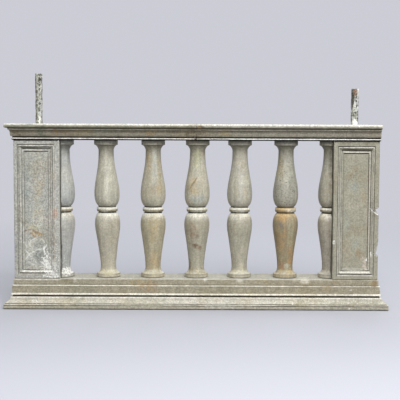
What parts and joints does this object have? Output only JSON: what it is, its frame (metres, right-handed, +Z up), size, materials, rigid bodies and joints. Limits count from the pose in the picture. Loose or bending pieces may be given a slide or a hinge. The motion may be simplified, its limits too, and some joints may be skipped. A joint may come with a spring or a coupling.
{
  "type": "stone balustrade",
  "caption": "Stone balustrade bay: turned double-bulb balusters between panelled piers, on a stepped moulded base under a moulded rail, with iron rods on the pier tops.",
  "frame": {"origin": "middle of the underside of the base", "axes": "+X along the balustrade, from the end with the returned rail to the end with the cut rail; the front faces -Y; +Z up"},
  "size_m": [1.924, 0.286, 1.176],
  "materials": {
    "base_stone": "weathered, matt",
    "pier_stone": "weathered, matt",
    "baluster_stone": "weathered, matt",
    "rail_stone": "weathered, dark with growth",
    "rusted_iron": "rusted, scaled and limed over"
  },
  "bodies": {
    "root": {"base_lower_course": "base_stone", "base_upper_course": "base_stone", "left_pier": "pier_stone", "right_pier": "pier_stone", "baluster_1_lower": "baluster_stone", "baluster_1_upper": "baluster_stone", "baluster_2_lower": "baluster_stone", "baluster_2_upper": "baluster_stone", "baluster_3_lower": "baluster_stone", "baluster_3_upper": "baluster_stone", "baluster_4_lower": "baluster_stone", "baluster_4_upper": "baluster_stone", "baluster_5_lower": "baluster_stone", "baluster_5_upper": "baluster_stone", "left_half_baluster_lower": "baluster_stone", "left_half_baluster_upper": "baluster_stone", "right_half_baluster_lower": "baluster_stone", "right_half_baluster_upper": "baluster_stone", "left_rail_stone": "rail_stone", "right_rail_stone": "rail_stone", "left_rod": "rusted_iron", "right_rod": "rusted_iron"}
  },
  "joints": []
}
